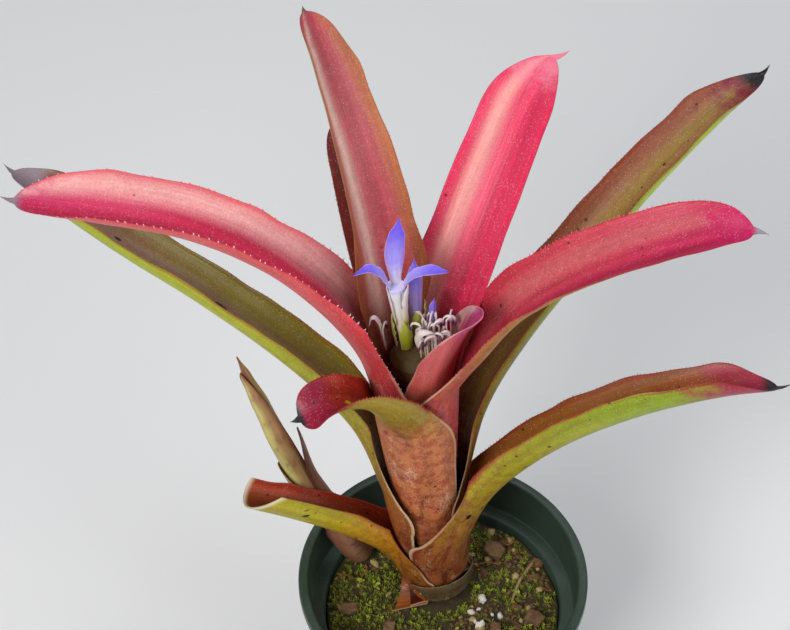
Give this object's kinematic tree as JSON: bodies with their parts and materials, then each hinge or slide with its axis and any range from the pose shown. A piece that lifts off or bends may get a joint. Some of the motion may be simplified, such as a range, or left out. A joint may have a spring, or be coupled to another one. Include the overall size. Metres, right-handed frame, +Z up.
{
  "type": "potted bromeliad",
  "caption": "Potted bromeliad: a leaning rosette of toothed strap leaves with lavender flowers in its central cup, an offset shoot and a round plastic nursery pot.",
  "frame": {"origin": "centre of the pot's flat underside", "axes": "+Z up along the pot's axis; the rosette stands towards +Y in the pot and leans towards -X; the cut leaf and the offset are on the -X side"},
  "size_m": [0.2455, 0.1621, 0.2924],
  "materials": {
    "pot_plastic": "matte moulded nursery pot",
    "potting_mix": "loose bark and fibre mix with moss and white grains",
    "stem": "fibrous stem",
    "dry_sheath": "dry papery sheath",
    "leaf_left_cut_skin": "leathery leaf with a fine scaly bloom, toothed margins",
    "leaf_right_low_skin": "leathery leaf with a fine scaly bloom, toothed margins",
    "leaf_left_green_skin": "leathery leaf with a fine scaly bloom, toothed margins",
    "leaf_back_low_skin": "leathery leaf with a fine scaly bloom, toothed margins",
    "leaf_right_long_skin": "leathery leaf with a fine scaly bloom, toothed margins",
    "leaf_front_folded_skin": "leathery leaf with a fine scaly bloom, toothed margins",
    "leaf_left_pink_skin": "leathery leaf with a fine scaly bloom, toothed margins",
    "leaf_right_pink_skin": "leathery leaf with a fine scaly bloom, toothed margins",
    "leaf_back_upright_skin": "leathery leaf with a fine scaly bloom, toothed margins",
    "leaf_back_broad_skin": "leathery leaf with a fine scaly bloom, toothed margins",
    "leaf_cup_inner_skin": "leathery leaf with a fine scaly bloom, toothed margins",
    "flower_head": "fleshy flower base",
    "petal_white": "white petal base",
    "petal_lavender": "satin lavender petal",
    "sepal": "yellow-green sepal",
    "spent_petal": "shrivelled pale petal",
    "offset_stem": "young shoot",
    "offset_leaf": "tan young leaf",
    "offset_scale_brown": "brown drying scale leaf",
    "bark": "rough bark",
    "twig": "dry twig"
  },
  "bodies": {
    "root": {"pot": "pot_plastic", "potting_mix": "potting_mix", "stem": "stem", "dry_basal_sheath": "dry_sheath", "leaf_left_cut": "leaf_left_cut_skin", "leaf_right_low": "leaf_right_low_skin", "leaf_left_green": "leaf_left_green_skin", "leaf_back_low": "leaf_back_low_skin", "leaf_right_long": "leaf_right_long_skin", "leaf_front_folded": "leaf_front_folded_skin", "leaf_left_pink": "leaf_left_pink_skin", "leaf_right_pink": "leaf_right_pink_skin", "leaf_back_upright": "leaf_back_upright_skin", "leaf_back_broad": "leaf_back_broad_skin", "leaf_cup_inner": "leaf_cup_inner_skin", "flower_head": "flower_head", "flower_tube": "petal_white", "petal_upright": "petal_lavender", "petal_left": "petal_lavender", "petal_right": "petal_lavender", "flower_bud_large": "petal_lavender", "flower_bud_small": "petal_lavender", "sepal_left": "sepal", "sepal_front": "sepal", "sepal_back": "sepal", "spent_flower_left": "spent_petal", "spent_flower_front": "spent_petal", "spent_flower_middle": "spent_petal", "spent_flower_right": "spent_petal", "offset_stem": "offset_stem", "offset_spear": "offset_leaf", "offset_scale_left": "offset_leaf", "offset_scale_upper": "offset_leaf", "offset_scale_low_back": "offset_leaf", "offset_scale_low_front": "offset_scale_brown", "offset_scale_right": "offset_scale_brown", "bark_chip_1": "bark", "bark_chip_2": "bark", "bark_chip_3": "bark", "bark_chip_4": "bark", "bark_chip_5": "bark", "bark_chip_6": "bark", "bark_chip_7": "bark", "bark_chip_8": "bark", "bark_chip_9": "bark", "twig": "twig"}
  },
  "joints": []
}
